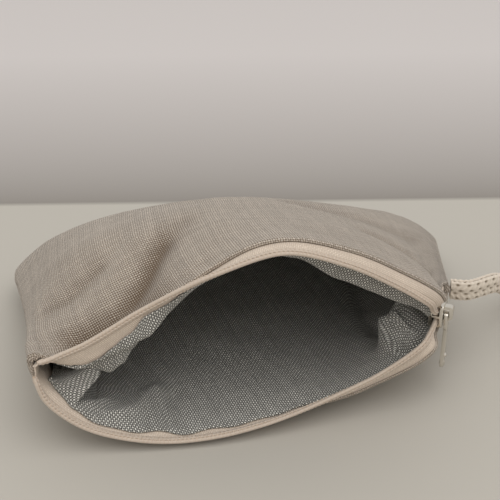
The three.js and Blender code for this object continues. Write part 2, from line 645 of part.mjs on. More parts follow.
const linen = new THREE.MeshStandardMaterial({ color: 0xa89c8e, roughness: 0.95 })
const liningCloth = new THREE.MeshStandardMaterial({ color: 0x77756e, roughness: 0.95 })
const tapeCloth = new THREE.MeshStandardMaterial({ color: 0xc4b3a3, roughness: 0.85 })
const nylon = new THREE.MeshStandardMaterial({ color: 0xbfa893, roughness: 0.5 })
const nickel = new THREE.MeshStandardMaterial({ color: 0xb9b5ae, roughness: 0.3, metalness: 1 })
const cotton = new THREE.MeshStandardMaterial({ color: 0xc2b5a5, roughness: 0.95 })

const pouch = new THREE.Group()
function add(parent, name, geometry, material) {
  const mesh = new THREE.Mesh(geometry, material)
  mesh.name = name
  parent.add(mesh)
}
for (const [side, word] of [[FRONT, 'front'], [BACK, 'back']]) {
  add(pouch, `outer_${word}_panel`, outerPanel(side), linen)
  add(pouch, `lining_${word}_panel`, liningPanel(side), liningCloth)
  add(pouch, `zip_tape_${word}`, zipTape(side), tapeCloth)
  add(pouch, `zip_coil_${word}`, zipCoil(side), nylon)
}
add(pouch, 'wrist_strap', wristStrap(), cotton)

const slider = new THREE.Group()
const outwards = chainDirection.clone().cross(Z)
slider.applyMatrix4(new THREE.Matrix4().makeBasis(chainDirection, Z, outwards))
slider.position.copy(chainPoint(tailDistance + halfLength, 0))
add(slider, 'slider_body', sliderBody(), nickel)
const pull = new THREE.Group()
pull.position.set(0, legMiddle, pullMiddle)
add(pull, 'pull_tab', pullTab(), nickel)
slider.add(pull)
pouch.add(slider)
pouch.position.set(-REST_X, -REST_Y, 0)

export default pouch
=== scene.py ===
# %% [markdown]
# # A lined linen zip pouch
# The pouch lies on its back panel with its zip open, so the eye goes over the linen, along the
# zip and into the lining. Every soft piece here is a finer skin in place of a solid of the packed
# model, which is loaded first. Lengths are written in millimetres, because a sewer thinks in them,
# and are turned to Blender's metres only when a mesh is made.

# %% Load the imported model
import math

import bmesh
import bpy
import numpy as np
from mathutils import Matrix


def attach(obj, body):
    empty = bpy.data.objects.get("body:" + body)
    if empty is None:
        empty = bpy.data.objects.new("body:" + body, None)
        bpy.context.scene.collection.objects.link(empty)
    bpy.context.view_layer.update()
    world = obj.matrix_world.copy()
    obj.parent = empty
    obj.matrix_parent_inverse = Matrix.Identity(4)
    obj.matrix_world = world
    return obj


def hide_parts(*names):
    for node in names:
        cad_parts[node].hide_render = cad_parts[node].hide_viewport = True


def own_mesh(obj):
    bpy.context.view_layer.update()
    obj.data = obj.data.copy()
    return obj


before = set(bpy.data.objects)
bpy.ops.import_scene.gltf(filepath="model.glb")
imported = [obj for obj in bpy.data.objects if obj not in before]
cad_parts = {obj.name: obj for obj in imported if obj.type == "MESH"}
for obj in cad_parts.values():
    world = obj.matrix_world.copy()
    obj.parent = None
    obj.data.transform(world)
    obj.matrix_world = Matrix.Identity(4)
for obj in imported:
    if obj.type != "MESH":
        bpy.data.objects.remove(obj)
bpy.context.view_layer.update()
scene = bpy.context.scene
MM = 0.001
print("packed nodes:", len(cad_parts))

# %% [markdown]
# ## Camera
# The photograph looks down at the mouth by 30 degrees, from a little to the left. A lens of
# 79 mm on the usual 36 mm sensor gives its mild perspective. The camera comes first, because
# every later choice is judged through it.

# %% Camera
CAMERA_PLACE = (-41.5, -310.2, 201.6)
CAMERA_DOWN = 30
CAMERA_RIGHT = 8.6
FOCAL_LENGTH = 79.2
SENSOR_WIDTH = 36
lens = bpy.data.cameras.new("photo_camera")
lens.lens = FOCAL_LENGTH
lens.sensor_width = SENSOR_WIDTH
lens.clip_start = 0.01
camera = bpy.data.objects.new("photo_camera", lens)
camera.location = [c * MM for c in CAMERA_PLACE]
camera.rotation_euler = (math.radians(90 - CAMERA_DOWN), 0, math.radians(-CAMERA_RIGHT))
scene.collection.objects.link(camera)
scene.camera = camera
print("camera", tuple(round(c, 4) for c in camera.location))

# %% [markdown]
# ## Small helpers
# A smooth line through a few stops serves for the strap and for both lips of the zip. The
# centripetal kind of Catmull-Rom curve is used: it passes through every stop and makes no loops
# where the stops crowd together. It is kept as many short steps with the length run so far, so
# that a place along it can be asked for by its share of the length.

# %% Smooth lines
def unit(v):
    return v / np.linalg.norm(v, axis=-1, keepdims=True)


def mix(a, b, share):
    return a + (b - a) * share


def ease(x, low, high):
    """A soft step from 0 at low to 1 at high."""
    share = np.clip((x - low) / (high - low), 0, 1)
    return share * share * (3 - 2 * share)


def smooth_line(stops, per_span=60):
    """Points, directions and run lengths of a centripetal Catmull-Rom curve through stops."""
    p = np.array(stops, float)
    p = np.vstack([2 * p[0] - p[1], p, 2 * p[-1] - p[-2]])
    t = np.linspace(0, 1, per_span, endpoint=False)[:, None]
    spans = []
    for a, b, c, d in zip(p, p[1:], p[2:], p[3:]):
        ab, bc, cd = (math.sqrt(np.linalg.norm(q)) for q in (b - a, c - b, d - c))
        leave = ((b - a) / ab - (c - a) / (ab + bc) + (c - b) / bc) * bc
        reach = ((c - b) / bc - (d - b) / (bc + cd) + (d - c) / cd) * bc
        square = 3 * (c - b) - 2 * leave - reach
        cube = 2 * (b - c) + leave + reach
        spans.append(b + leave * t + square * t**2 + cube * t**3)
    points = np.vstack(spans + [p[-2:-1]])
    steps = np.linalg.norm(np.diff(points, axis=0), axis=1)
    run = np.concatenate([[0], np.cumsum(steps)])
    return points, unit(np.gradient(points, run, axis=0)), run


def along(line, share):
    """Place and direction at a share of a line's length."""
    points, directions, run = line

    def pick(values):
        return np.stack([np.interp(share * run[-1], run, values[:, k]) for k in range(3)], -1)

    return pick(points), unit(pick(directions))


def dot(a, b):
    return np.sum(a * b, axis=-1, keepdims=True)


def stop_values(stops, share):
    """Smooth value along a table of (share, value) stops."""
    places, values = np.array(stops, float).T
    after = np.clip(np.searchsorted(places, share), 1, len(places) - 1)
    part = ease(share, places[after - 1], places[after])
    return mix(values[after - 1], values[after], part)


# %% [markdown]
# A finished mesh becomes an object at the origin that rides on one body of the model and stands for
# its solids, which are hidden. The modifiers that thicken and round it are applied at once, so that
# the mesh is final when the poses bend it.

# %% Pieces
def piece(name, bm, body, nodes=(), thicken=0, rounding=0):
    """One finished object from a bmesh; thicken and rounding are in millimetres."""
    mesh = bpy.data.meshes.new(name)
    bm.to_mesh(mesh)
    bm.free()
    obj = bpy.data.objects.new(name, mesh)
    scene.collection.objects.link(obj)
    if thicken:
        wall = obj.modifiers.new("thickness", "SOLIDIFY")
        wall.thickness = thicken * MM
        wall.offset = -1
    if rounding:
        edge = obj.modifiers.new("rounding", "BEVEL")
        edge.width = rounding * MM
        edge.segments = 2
        edge.limit_method = "ANGLE"
        edge.angle_limit = math.radians(50)
    if obj.modifiers:
        shaped = obj.evaluated_get(bpy.context.evaluated_depsgraph_get())
        obj.data = bpy.data.meshes.new_from_object(shaped)
        obj.modifiers.clear()
    obj.data.shade_smooth()
    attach(obj, body)
    if nodes:
        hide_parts(*nodes)
    print(name, len(obj.data.polygons), "faces")
    return obj


def cloth_grid(points, flip=False, openness_and_shade=0):
    """A grid bent to points in millimetres. Each vertex keeps its thread lengths and a third number: the
    weave's openness, and painted shade where a finish draws the cloth darker.
    """
    columns, rows = points.shape[0] - 1, points.shape[1] - 1
    bm = bmesh.new()
    bmesh.ops.create_grid(bm, x_segments=columns, y_segments=rows, size=0.5)
    across = np.linalg.norm(np.diff(points, axis=0, prepend=points[:1]), axis=-1).cumsum(0)
    across -= across[columns // 2]
    inward = np.linalg.norm(np.diff(points, axis=1, prepend=points[:, :1]), axis=-1).cumsum(1)
    openness_and_shade = openness_and_shade + 0 * across
    threads = bm.verts.layers.float_vector.new("cloth_mm")
    for v in bm.verts:
        i = round((v.co.x + 0.5) * columns)
        j = round((v.co.y + 0.5) * rows)
        v[threads] = (across[i, j], inward[i, j], openness_and_shade[i, j])
        v.co = points[i, j] * MM
    bmesh.ops.remove_doubles(bm, verts=bm.verts, dist=1e-6)
    if flip:
        bmesh.ops.reverse_faces(bm, faces=bm.faces)
    return bm


# %% [markdown]
# ## Wrist strap
# The strap is a loop of flat knitted cotton braid. Both ends are caught in the right side seam.
# It stands on edge where it leaves the seam, then sinks and turns flat on the table. A curve with
# a bevel could give the route, but not the plaited relief, so a grid is rolled to a flat tube
# along the route. Its surface is raised into sloping strands with rows of small holes between.

# %% Strap route
STRAP_WIDTH = 6.2
STRAP_THICKNESS = 2.2
STRAP_STOPS = [
    (60.1, -41.8, 25.7), (64.9, -43.3, 25.7), (77, -38.5, 24.6), (86, -34, 19.2), (96, -29, 11.5),
    (107, -26, 4.6), (119, -25, 1.8), (131, -23.5, 1.4), (141, -18, 1.4), (145, -9, 1.4),
    (141, 0, 1.4), (131, 5.5, 1.4), (119, 3, 1.8), (107, -5, 3.6), (96, -15, 7.6),
    (86, -25, 14), (77, -33, 21.6), (65.5, -40.9, 25.1), (60.7, -39.5, 25.1),
]
strap_line = smooth_line(STRAP_STOPS)
strap_length = strap_line[2][-1]
print("strap length", round(strap_length, 1), "mm")

# %% Strap surface
STITCH_PITCH = 3
STRAND_SLOPE = 1.2
HOLE_ROWS = [(-0.77, 0.3), (-0.16, 0.5), (0.16, 0), (0.77, 0.3)]
HOLE_SIZE = 0.11
HOLE_DEPTH = 0.4
UPRIGHT_TO, FLAT_FROM = 76.4, 112.4
SQUARENESS = 0.75
STRAP_STEPS = int(strap_length / 0.22)
STRAP_SIDES = 80


def strap_points():
    share = np.linspace(0, 1, STRAP_STEPS + 1)
    place, tangent = along(strap_line, share)
    flat = ease(place[:, 0], UPRIGHT_TO, FLAT_FROM)[:, None]
    upright = unit(np.array([0, 0, 1]) - tangent * tangent[:, 2:])
    sideways = unit(np.cross(tangent, [0, 0, 1]))
    width = mix(upright, sideways, flat)
    width = unit(width - tangent * dot(width, tangent))
    depth = np.cross(tangent, width)
    turn = np.linspace(0, 2 * math.pi, STRAP_SIDES + 1)[None, :]
    # A full, rather square oval: the relief is cut into it
    w = np.sign(np.cos(turn)) * np.abs(np.cos(turn)) ** SQUARENESS
    d = np.sign(np.sin(turn)) * np.abs(np.sin(turn)) ** SQUARENESS
    # Strands slope from the middle to the edges, and rows of small holes lie between them
    run = share[:, None] * strap_length / STITCH_PITCH
    strand = np.cos(math.pi * (2 * run - STRAND_SLOPE * np.abs(w)))**2
    groove = sum(np.exp(-((w - row) / HOLE_SIZE)**2) for row, _ in HOLE_ROWS)
    hole = sum(np.exp(-((w - row) / HOLE_SIZE)**2) * np.cos(math.pi * (run + phase))**6
               for row, phase in HOLE_ROWS)
    push = 0.72 + 0.28 * (0.5 + 0.5 * strand) * (1 - 0.5 * groove) - HOLE_DEPTH * hole
    half_width = STRAP_WIDTH / 2 * (0.94 + 0.06 * strand)
    p = place[:, None] + width[:, None] * (w * half_width)[..., None]
    p = p + depth[:, None] * (d * STRAP_THICKNESS / 2 * push)[..., None]
    # The second value is painted shade for the braid's finish: its holes and the grooves between strands
    return p, np.clip(hole + 0.15 * (1 - strand), 0, 1)


strap_surface, strap_painted_shade = strap_points()
strap_bm = cloth_grid(strap_surface, openness_and_shade=strap_painted_shade)
ends = [e for e in strap_bm.edges if e.is_boundary]
bmesh.ops.holes_fill(strap_bm, edges=ends, sides=0)
bmesh.ops.recalc_face_normals(strap_bm, faces=strap_bm.faces)
strap = piece("wrist_strap_braid", strap_bm, "pouch", ["wrist_strap"])
strap_path = along(strap_line, np.linspace(0, 1, 240))[0] * MM

# %% [markdown]
# ## The pouch's form
# The lips of the zip are two smooth lines from the left corner to the slider. From each lip the
# tape runs back, leaning in or out as the open mouth makes it, and the panel follows it over an
# arch, or down a trough, to the bottom seam. These functions give the middle of the cloth for a
# share along the zip and a depth from zip to seam. All layers are laid on that one surface, so
# they keep their order everywhere.

# %% Lips
FRONT = 1
BACK = -1
BACK_WIDTH, BACK_DEPTH, BACK_SHIFT, BACK_CORNER, BACK_SEAM_HEIGHT = 150, 89, 6, 20, 6
MOUTH_LEFT, MOUTH_RIGHT, MOUTH_SETBACK, MOUTH_HEIGHT, MOUTH_BOW = 58.5, 61.4, 13.6, 27, 10
LIP_REACH = {FRONT: 31.5, BACK: 24}
TAPE_SHOWING = 2.5
COLLAR = [(0, 0), (0.03, 0.1), (0.09, 1), (0.2, 1), (0.34, 0)]
COLLAR_HEIGHT, COLLAR_LEAN, COLLAR_REACH = 5, 75, 0.16
SEAM_HALF = 1.3
TAIL, THROAT, RIM_TURN = 4.5, 12.5, 8
CHAIN_HALF_END, CHAIN_HALF_TAIL, CHAIN_HALF_THROAT = 1.5, 2.05, 2.75
CHAIN_ANGLE = 28
LOWEST = 1.3
REST = np.array([5, 60, 0])
LIP_SHARES = {
    FRONT: [(-0.96, -0.42, 0.04), (-0.785, -0.35, 0.1), (-0.479, -0.3, 0.417), (-0.171, -0.45, 0.767),
            (0.144, -0.65, 1), (0.433, -0.65, 0.84), (0.689, -0.5, 0.54), (0.849, -0.35, 0.3)],
    BACK: [(-0.985, -0.5, -0.18), (-0.935, -0.62, -0.42), (-0.765, -0.82, -0.77), (-0.479, -1, -0.98),
           (-0.136, -1.02, -1), (0.32, -0.72, -0.8), (0.641, -0.46, -0.54), (0.841, -0.32, -0.22)],
}
LEAN = {
    FRONT: [(0, 0), (0.06, -45), (0.28, -35), (0.48, 25), (0.75, 50), (0.86, 75)],
    BACK: [(0, 0), (0.08, -50), (0.25, -30), (0.5, -10), (0.72, 45), (0.86, 75)],
}


def lip_stops(side):
    stops = [(-MOUTH_LEFT, -0.35 * MOUTH_BOW, MOUTH_HEIGHT + side * CHAIN_HALF_END)]
    for x, y, z in LIP_SHARES[side]:
        reach = MOUTH_LEFT if x < 0 else MOUTH_RIGHT
        stops.append((x * reach, y * MOUTH_BOW, MOUTH_HEIGHT + z * LIP_REACH[side]))
    turn = math.radians(CHAIN_ANGLE)
    for from_seam, half in ((THROAT, CHAIN_HALF_THROAT), (TAIL, CHAIN_HALF_TAIL), (0, CHAIN_HALF_END)):
        stops.append((MOUTH_RIGHT - from_seam * math.sin(turn),
                      MOUTH_SETBACK - from_seam * math.cos(turn), MOUTH_HEIGHT + side * half))
    return stops


LIPS = {side: smooth_line(lip_stops(side)) for side in (FRONT, BACK)}
ZIP_LENGTH = {side: LIPS[side][2][-1] for side in (FRONT, BACK)}
print("zip lengths", [round(ZIP_LENGTH[side], 1) for side in (FRONT, BACK)])

# %% Tape direction
def collar(side, share):
    """Where the front lip stands up as a collar, from 0 to 1."""
    return stop_values(COLLAR, share) if side == FRONT else 0 * share


def seam_direction(share):
    """The way from the mouth to the bottom seam."""
    return unit(np.stack([-0.1 + 0.4 * share, 0.94 + 0 * share, -0.2 + 0 * share], -1))


def tape_direction(side, share, standing=True):
    """The way that the tape runs from its coil towards the cloth."""
    share = np.asarray(share, float)
    tangent = along(LIPS[side], share)[1]
    back = seam_direction(share)
    back = unit(back - tangent * dot(back, tangent))
    outward = unit(np.cross(tangent, back) * side)
    lean = stop_values(LEAN[side], share)
    if standing:
        lean = mix(lean, -COLLAR_LEAN, collar(side, share))
    lean = np.radians(lean)[..., None]
    leaning = back * np.cos(lean) + outward * np.sin(lean)
    from_seam = (1 - share) * ZIP_LENGTH[side]
    in_slider = ease(-from_seam, -THROAT - RIM_TURN, -THROAT)[..., None]
    direction = unit(mix(leaning, np.array([0, 0, side]), in_slider))
    folded = unit(seam_direction(np.ones_like(share)) + np.array([0, 0, side * 0.3]))
    return unit(mix(direction, folded, ease(-from_seam, -TAIL, 0)[..., None]))


def lip_point(side, share, from_edge):
    """A place on the tape at a distance from its coil edge."""
    from_edge = np.asarray(from_edge, float)[..., None]
    return along(LIPS[side], share)[0] + tape_direction(side, share) * from_edge


def tape_showing(side, share):
    return mix(TAPE_SHOWING, COLLAR_HEIGHT, collar(side, share))


def fold_point(side, share):
    return lip_point(side, share, tape_showing(side, share))


FOLD_END = [sum(fold_point(side, np.array(end)) for side in (FRONT, BACK)) / 2 for end in (0.0, 1.0)]

# %% Panel surface
def cross_profile(side, a, depth):
    """Height of a panel's arch across the pouch: 0 at the side seams, about 1 in the middle."""
    if side == BACK:
        return (1 - a**2) * (0.9 - 0.3 * a + 0.9 * a**2)
    arch = (1 - a**2) * (0.96 + 0.45 * a - 0.36 * a**2)
    dome = (1 - a**2) * (0.97 - 0.22 * a + 0.15 * a**2 + 0.8 * a**4)
    return mix(arch, dome, ease(depth, 0, 0.45))


def loft_point(side, share, depth):
    """A panel as a plain arch between the side seams, from the mouth to the bottom seam."""
    a = 2 * share - 1
    left_end, right_end = FOLD_END
    end_y = mix(left_end[1], right_end[1], share)
    in_corner = np.maximum(0, BACK_CORNER - (1 - depth) * (BACK_DEPTH - end_y))
    rounding = BACK_CORNER - np.sqrt(np.maximum(0, BACK_CORNER**2 - in_corner**2))
    left = mix(left_end[0], BACK_SHIFT - BACK_WIDTH / 2, depth**1.6) + rounding
    right = mix(right_end[0], BACK_SHIFT + BACK_WIDTH / 2, depth) - rounding
    seam_height = mix(MOUTH_HEIGHT, BACK_SEAM_HEIGHT, depth)
    if side == FRONT:
        rise = (LIP_REACH[FRONT] - SEAM_HALF + 4 * depth * (1 - depth)) * np.sqrt(1 - depth**3)
    else:
        rise = (seam_height + 3) * np.sqrt(1 - depth**10)
    z = seam_height + side * (SEAM_HALF + rise * cross_profile(side, a, depth))
    y = mix(end_y - MOUTH_BOW * (1 - a**2), BACK_DEPTH, depth)
    return np.stack([mix(left, right, share), y, np.maximum(z, LOWEST)], -1)


def smooth_point(side, share, depth):
    """The panel before any crease: the loft, drawn to the zip's line and to the collar's foot."""
    share, depth = np.broadcast_arrays(np.asarray(share, float), np.asarray(depth, float))
    plain = along(LIPS[side], share)[0] + tape_direction(side, share, standing=False) * TAPE_SHOWING
    pull = plain - loft_point(side, share, 0 * depth)
    dip = fold_point(side, share) - plain
    point = loft_point(side, share, depth) + pull * (np.maximum(0, 1 - 2 * depth)**2)[..., None]
    point = point + dip * (np.maximum(0, 1 - depth / COLLAR_REACH)**2)[..., None]
    point[..., 2] = np.maximum(point[..., 2], LOWEST)
    return point


def normal_of(surface, side, share, depth):
    step = 0.004
    s = np.clip(share, step, 1 - step)
    d = np.clip(depth, 0, 1 - 2 * step)
    across = surface(side, s + step, d) - surface(side, s - step, d)
    inward = surface(side, s, d + step) - surface(side, s, d)
    return unit(np.cross(across, inward) * side)


def panel_length(side, share):
    """Length of the cloth from the fold at the zip to the seam, judged from its first tenth."""
    tenth = 0.1
    first = smooth_point(side, share, tenth) - smooth_point(side, share, 0)
    return np.maximum(np.linalg.norm(first, axis=-1) / tenth, BACK_DEPTH / 2)


print("panel at the middle", smooth_point(FRONT, 0.5, 0.3).round(1))

# %% [markdown]
# ## Creases and folds
# Cloth that has been washed and handled keeps soft creases. Sculpting by hand would work but can't
# be repeated, so each crease is a short line on the flat cloth, with a height and a width, and the
# surface is pushed along its normal by a smooth bump about that line. The biggest is the fold that
# runs up the front panel from the foot of the collar. The creases belong to the one surface that
# all layers share, so the lining goes in where the linen does.

# %% Creases
def line_distance(u, v, stops):
    """Distance in millimetres from points of the flat cloth to a line of stops on it."""
    best = np.full(u.shape, np.inf)
    for (u0, v0), (u1, v1) in zip(stops, stops[1:]):
        du, dv = u1 - u0, v1 - v0
        t = np.clip(((u - u0) * du + (v - v0) * dv) / (du * du + dv * dv), 0, 1)
        best = np.minimum(best, np.hypot(u - u0 - t * du, v - v0 - t * dv))
    return best


def bump(u, v, stops, height, width):
    """A rounded ridge along a line, or a valley where the height is below zero."""
    return height * np.exp(-(line_distance(u, v, stops) / width)**2)


def ripple(u, v, seed, wave):
    """Slow unevenness of cloth, from a few waves in set directions."""
    waves = 7
    rng = np.random.default_rng(seed)
    total = 0 * u
    for _ in range(waves):
        angle, phase = rng.uniform(0, 2 * math.pi, 2)
        length = wave * rng.uniform(0.7, 1.6)
        total = total + np.sin(2 * math.pi * (u * math.cos(angle) + v * math.sin(angle)) / length + phase)
    return total / waves


# %% Creased surface
FRONT_CREASES = [
    ([(-60, 6), (-50, 7.5), (-44, 9.5), (-38, 13), (-30, 21)], -1.6, 4.6),
    ([(-42, 10), (-38, 13), (-30, 21), (-21, 29)], -1, 5.5),
    ([(-62, 13), (-54, 15), (-46, 20), (-38, 29)], 0.7, 4),
    ([(-24, 4), (-17, 12), (-10, 22)], 0.9, 5.5),
    ([(-74, 19), (-67, 22), (-60, 24), (-51, 27)], -0.9, 3.4),
    ([(38, 27), (50, 20), (62, 11)], -0.9, 3.2),
    ([(20, 60), (42, 46), (60, 36)], -0.9, 6),
]
UNEVEN_HEIGHT, UNEVEN_WAVE = 0.4, 38


def crease_lift(side, share, depth):
    """How far the creases lift the panel, or sink it where the lift is below zero."""
    if side == BACK:
        return 0 * share
    u = (share - 0.5) * BACK_WIDTH
    v = depth * panel_length(side, share)
    free = ease(np.minimum(share, 1 - share), 0, 0.06) * ease(1 - depth, 0, 0.06) * ease(v, 1, 7)
    creases = sum(bump(u, v, *crease) for crease in FRONT_CREASES)
    return free * (creases + UNEVEN_HEIGHT * ripple(u, v, 3, UNEVEN_WAVE))


def mid_point(side, share, depth):
    share, depth = np.broadcast_arrays(np.asarray(share, float), np.asarray(depth, float))
    lift = crease_lift(side, share, depth)[..., None]
    return smooth_point(side, share, depth) + normal_of(smooth_point, side, share, depth) * lift


def mid_normal(side, share, depth):
    return normal_of(mid_point, side, share, depth)


def from_zip(side, share, distance):
    """Middle of the cloth and its outward normal at a distance from the tape's coil edge."""
    tape = lip_point(side, share, distance)
    tangent = along(LIPS[side], share)[1]
    rim = unit(np.cross(tangent, tape_direction(side, share)) * side)
    showing = tape_showing(side, share)
    depth = np.clip((distance - showing) / panel_length(side, share), 0, 1)
    point = np.where((distance < showing)[..., None], tape, mid_point(side, share, depth))
    turned = ease(distance, showing - 1, showing + 1.5)[..., None]
    return point, unit(mix(rim, mid_normal(side, share, depth), turned))


# %% [markdown]
# ## Outer panels
# Two panels of greige linen are sewn together along three sides and folded under at the zip. A bag
# could be inflated with a cloth simulation, but this one holds the shape that its last use gave
# it, so each panel is a grid laid on the surface above. Extra rows make the folded hem at the zip,
# others turn the border in to the groove of the seam, and the sheet gets its thickness at the end.

# %% Seam roll
SEAM_GROOVE = 0.35


def seam_point(share, depth):
    return mix(mid_point(FRONT, share, depth), mid_point(BACK, share, depth), 0.5)


def seam_roll(side, share, depth, offset, turned):
    """Where the cloth bends down to the seam: turned goes from 0 on the panel to 1 at the seam."""
    step = 0.01
    at_side = (share <= 0) | (share >= 1)
    sideways = (depth >= 1) | ~at_side
    s0 = np.where(sideways, np.maximum(0, share - step), share)
    s1 = np.where(sideways, np.minimum(1, share + step), share)
    d0 = np.where(at_side, np.maximum(0, depth - step), depth)
    d1 = np.where(at_side, np.minimum(1, depth + step), depth)
    d0, d1 = np.where(share >= 1, d1, d0), np.where(share >= 1, d0, d1)
    tangent = unit(seam_point(s1, d1) - seam_point(s0, d0))
    up = np.zeros_like(tangent)
    up[..., 2] = side
    up = unit(up - tangent * dot(up, tangent))
    aside = unit(np.cross(tangent, up))
    outwards = seam_point(share, depth) - np.array([BACK_SHIFT, BACK_DEPTH / 2, 0])
    aside = aside * np.sign(dot(aside, outwards))
    normal = mid_normal(side, share, depth)
    lean_out = np.clip(dot(normal, aside), 0, 0.98)
    start = mid_point(side, share, depth) + normal * offset
    height = dot(start - seam_point(share, depth), up)
    reach = height / (1 + lean_out)
    beside = start + aside * reach * np.sqrt(1 - lean_out**2)
    knee = beside - up * reach * lean_out
    end = beside - up * height - aside * SEAM_GROOVE
    t = turned[..., None]
    return start * (1 - t)**2 + knee * 2 * t * (1 - t) + end * t**2


# %% Outer panels
PANEL_COLUMNS, PANEL_ROWS, ROLL_STEPS = 170, 90, 4
CLOTH_FOLD, COLLAR_FOLD = 0.6, 1.4
OUTER_FACE, HEM_FACE = 1.3, 0.25
OUTER_THICKNESS = 0.48
FRONT_RIPPLE, BACK_RIPPLE = 0.18, 0.4
DEEP_CREASE = 2.6
TUCK_SHARE = 0.014


def hem_rows(face, under):
    """Rows of a folded hem: distance behind the fold line and height over the middle surface."""
    radius = (face - under) / 2
    turn = np.radians([-90, -60, -30, 0, 30, 60])
    flat = np.array([(2.6, under), (1.4, under), (0.5, under)])
    bend = np.stack([-radius * np.cos(turn), under + radius * (1 + np.sin(turn))], -1)
    return np.vstack([flat, bend]).T


def outer_panel(side, name):
    i = np.arange(PANEL_COLUMNS + 2 * ROLL_STEPS + 1)[:, None]
    j = np.arange(PANEL_ROWS + ROLL_STEPS + 1)[None, :]
    even = np.clip((i - ROLL_STEPS) / PANEL_COLUMNS, 0, 1)
    share = mix(even, 0.5 - 0.5 * np.cos(math.pi * even), 0.5) + 0 * j
    row = 0.5 - 0.5 * np.cos(math.pi * np.clip(j / PANEL_ROWS, 0, 1)) + 0 * i
    fold = mix(CLOTH_FOLD, COLLAR_FOLD, collar(side, share))
    depth = mix(fold / panel_length(side, share), 1, row)
    turned = np.maximum.reduce([ROLL_STEPS - i + 0 * j, i - ROLL_STEPS - PANEL_COLUMNS + 0 * j,
                                j - PANEL_ROWS + 0 * i, 0 * (i + j)]) / ROLL_STEPS
    rolled = seam_roll(side, share, depth, OUTER_FACE, turned)
    u = (share - 0.5) * BACK_WIDTH
    v = depth * panel_length(side, share)
    free = ease(np.minimum(share, 1 - share), 0, 0.05) * ease(1 - depth, 0, 0.06)
    if side == FRONT:
        lift = FRONT_RIPPLE * (1 + ripple(u, v, 5, 13)) * free
    else:
        lift = -BACK_RIPPLE * (1 + ripple(u, v, 8, 30)) * free * ease(rolled[..., 2], 3, 9)
    points = rolled + mid_normal(side, share, depth) * (lift * (turned == 0))[..., None]
    # Painted shade: in the creases and along the collar's foot, where shade falls, more of the dark between
    # the threads is drawn
    shade = np.clip(-crease_lift(side, share, depth) / DEEP_CREASE, 0, 1)
    foot = ease(-v, -15, -5) + 0.7 * ease(-v, -3.5, -1)
    shade = np.maximum(shade, collar(side, share) * foot)
    # The cloth is folded under at the zip
    behind, over = hem_rows(OUTER_FACE, HEM_FACE)
    first = share[:, :1] + 0 * behind
    hem_depth = np.maximum(0, (fold[:, :1] + behind) / panel_length(side, first))
    hem = mid_point(side, first, hem_depth) + mid_normal(side, first, hem_depth) * over[:, None]
    # At the ends of the mouth the border turns in to the middle of the seam instead
    middle = seam_point(share[:, :1], 0 * share[:, :1])
    tuck = points[:, :1] + (middle - points[:, :1]) * np.linspace(1, 0.1, len(behind))[None, :, None]
    from_end = np.minimum(share, 1 - share)[:, :1]
    tucked = np.maximum(ease(turned[:, :1], 0, 0.3), 0.8 * ease(-from_end, -TUCK_SHARE, -0.002))
    hem = mix(hem, tuck, tucked[..., None])
    points = np.concatenate([hem, points], axis=1)
    shade = np.pad(shade, ((0, 0), (len(behind), 0)), "edge")
    bm = cloth_grid(points - REST, flip=side == BACK, openness_and_shade=shade)
    return piece(name, bm, "pouch", [name.replace("_linen", "_panel")], thicken=OUTER_THICKNESS)


outer_front = outer_panel(FRONT, "outer_front_linen")
outer_back = outer_panel(BACK, "outer_back_linen")

# %% [markdown]
# ## Linings
# The lining is looser than the linen, so it sags away from the front panel and stands in soft
# rolls near the corners. It starts as a folded edge on the zip tape and cuts the left corner short.
# Draping could find such folds, but not these ones, so the same grid is used, with the folds that
# the open mouth shows pushed towards the inside.

# %% Linings
LINING_COLUMNS, LINING_ROWS = 230, 120
LINING_WIDTH = 142
LINING_FACE, LINING_HEM = 1.1, 0.3
LINING_THICKNESS = 0.35
LINING_OPEN = 0.22
LINING_RIPPLE = 0.5
LINING_LAP = 0.02
SCALLOP_HEIGHT, SCALLOPS = 0.35, 11
LINING_EDGE = {
    FRONT: [(0, 4), (0.04, 4.6), (0.1, 5.4), (0.14, 4.8), (0.18, 3.2), (0.23, 1.4), (0.32, 1.2),
            (0.5, 3), (1, 4.2)],
    BACK: [(0, 7), (0.045, 6), (0.076, 4), (0.12, 1.9), (0.17, 1.6), (0.23, 1), (0.29, 2.2),
           (0.34, 1.1), (0.4, 1.8), (0.5, 1.2), (0.7, 1), (0.9, 1.6), (1, 4.2)],
}
FRONT_SAG = [
    (0, 0), (0.05, 1.5), (0.08, 4.5), (0.11, 7), (0.135, 8.2), (0.16, 7.4), (0.185, 5), (0.21, 2.8),
    (0.235, 1), (0.26, -0.4), (0.34, -1), (0.45, 1), (0.55, 4), (0.65, 7.5), (0.75, 8.5),
    (0.86, 7.5), (0.92, 3.5), (0.94, 0.5), (0.95, 0), (1, 0),
]
SAG_WAY = np.array([0, -0.5, -1])
SHORT_CORNER = 0.045
DEEPEST_FOLD = -0.5
GUSSET_FOLD, GUSSET_SLOPE, GUSSET_HEIGHT, GUSSET_SHIFT = 53, 0.9, 8.5, 3
BACK_FOLDS = [
    ([(-52, 2), (-49, 6), (-46, 10)], 1.7, 2.4),
    ([(-42, 3), (-36, 9), (-32, 18)], 2, 3.6),
    ([(-26, 2), (-26.5, 8), (-25, 18)], -0.7, 2),
    ([(66, 6), (56, 9.5), (46, 14)], 11, 4.2),
    ([(66, 2.5), (56, 4.5), (46, 7)], -2.8, 1.8),
    ([(66, 12), (56, 17), (46, 23)], 2, 2.5),
]


